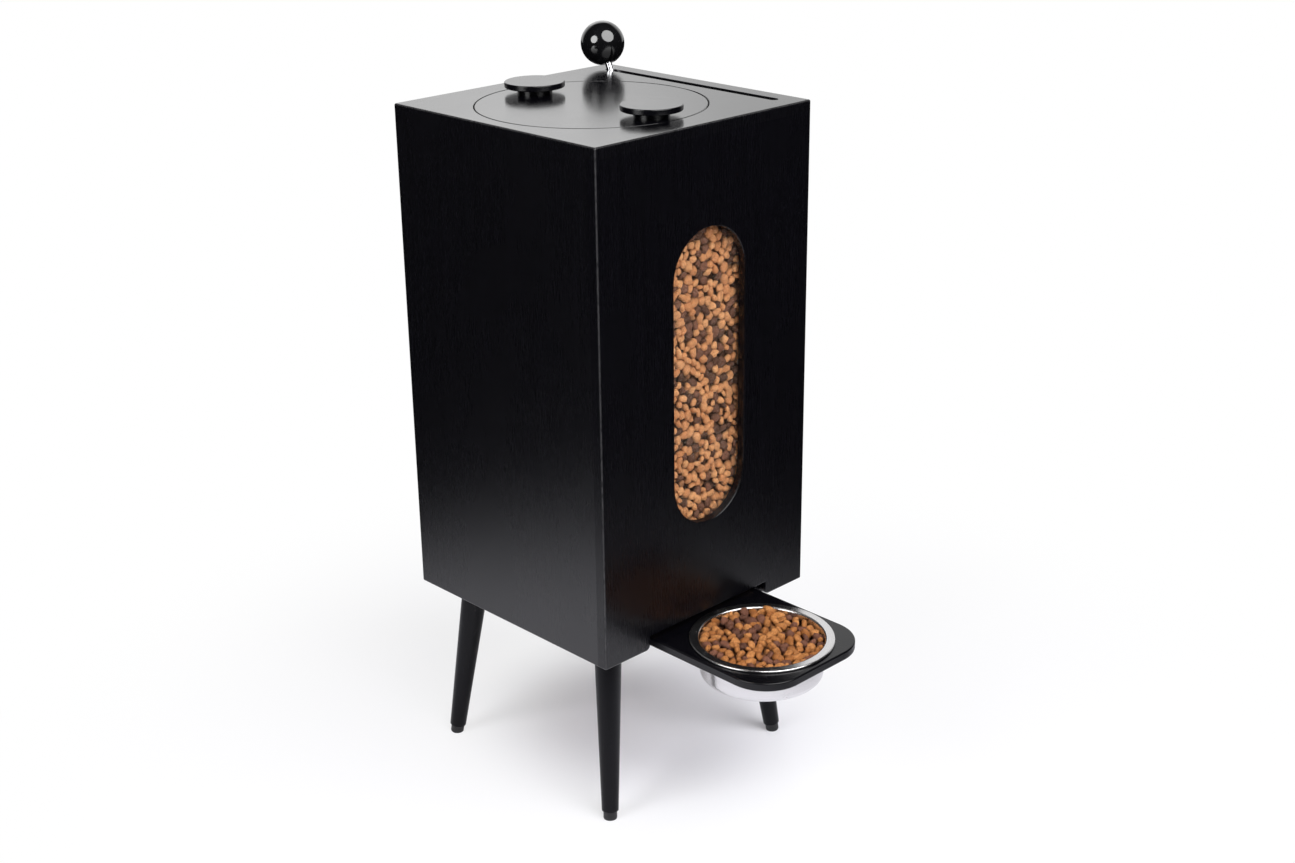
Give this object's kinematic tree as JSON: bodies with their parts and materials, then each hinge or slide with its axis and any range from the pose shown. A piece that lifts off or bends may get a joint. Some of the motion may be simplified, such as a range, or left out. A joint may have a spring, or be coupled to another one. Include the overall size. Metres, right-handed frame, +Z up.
{
  "type": "kibble dispenser",
  "caption": "Square standing cabinet on splayed legs that stores dry pet food behind a window; a lever slides the bowl tray in under the hopper to be filled.",
  "frame": {"origin": "on the floor, under the middle of the whole object's outline, tray and lever included", "axes": "+Z up; the tray slides out along -Y; +X is to the right for someone looking along +Y at the window"},
  "size_m": [0.305, 0.4704, 0.7973],
  "materials": {
    "stained_wood": "black stain under satin lacquer, fine grain",
    "plain_wood": "bare birch plywood",
    "clear_pane": "clear acrylic",
    "bowl_steel": "polished, with fine turned lines",
    "bright_chrome": "bright chrome",
    "gloss_ball": "polished black resin",
    "zinc_steel": "zinc plated",
    "runner_aluminium": "mill finish",
    "black_plastic": "moulded, satin",
    "white_plastic": "turned acetal",
    "bronze_bush": "sintered bronze",
    "seal_rubber": "silicone"
  },
  "bodies": {
    "cabinet": {"front_panel": "stained_wood", "back_panel": "stained_wood", "left_panel": "stained_wood", "right_panel": "stained_wood", "top_board": "stained_wood", "leg_front_left": "stained_wood", "leg_front_right": "stained_wood", "leg_back_left": "stained_wood", "leg_back_right": "stained_wood", "lid_ledge": "plain_wood", "partition": "plain_wood", "outlet_deck": "plain_wood", "funnel_left": "plain_wood", "funnel_right": "plain_wood", "funnel_front": "plain_wood", "funnel_back": "plain_wood", "corner_block_front_left": "plain_wood", "corner_block_front_right": "plain_wood", "corner_block_back_left": "plain_wood", "corner_block_back_right": "plain_wood", "window_pane": "clear_pane", "leg_bolts": "zinc_steel", "deck_screws": "zinc_steel", "runner_screws": "zinc_steel", "pane_screws": "zinc_steel", "axle_plate_screws": "zinc_steel", "axle_plate_left": "zinc_steel", "axle_plate_right": "zinc_steel", "axle_pin": "zinc_steel", "runner_left": "runner_aluminium", "runner_right": "runner_aluminium", "foot_glide_front_left": "black_plastic", "foot_glide_front_right": "black_plastic", "foot_glide_back_left": "black_plastic", "foot_glide_back_right": "black_plastic", "outlet_liner": "black_plastic", "thrust_washers": "white_plastic"},
    "lever": {"lever_hub": "zinc_steel", "hub_bush": "bronze_bush", "lever_rod": "bright_chrome", "drive_rod": "zinc_steel", "ball_knob": "gloss_ball", "drive_pin": "zinc_steel", "drive_spacer": "white_plastic", "drive_roller": "white_plastic", "roller_clip": "zinc_steel"},
    "tray": {"tray": "stained_wood", "tray_bracket": "zinc_steel", "bracket_screws": "zinc_steel", "bowl": "bowl_steel"},
    "lid": {"lid_disc": "stained_wood", "lid_plug": "plain_wood", "lid_gasket": "seal_rubber", "knob_disc_front": "stained_wood", "knob_disc_back": "stained_wood", "knob_stem_front": "stained_wood", "knob_stem_back": "stained_wood", "knob_screws": "zinc_steel"}
  },
  "joints": [
    {"name": "lever_tilt", "type": "hinge", "parent": "cabinet", "child": "lever", "pos_m": [0.1275, 0.0765, 0.45354], "axis": [1, 0, 0], "range_deg": [0, 45.6]},
    {"name": "tray_slide", "type": "slide", "parent": "cabinet", "child": "tray", "axis": [0, 1, 0], "range_m": [0, 0.158]},
    {"name": "lid_lift", "type": "slide", "parent": "cabinet", "child": "lid", "axis": [0, 0, 1], "range_m": [0, 0.1]}
  ],
  "couplings": [
    {"joint": "tray_slide", "follows": "lever_tilt", "m_per_rad": 0.19853}
  ]
}
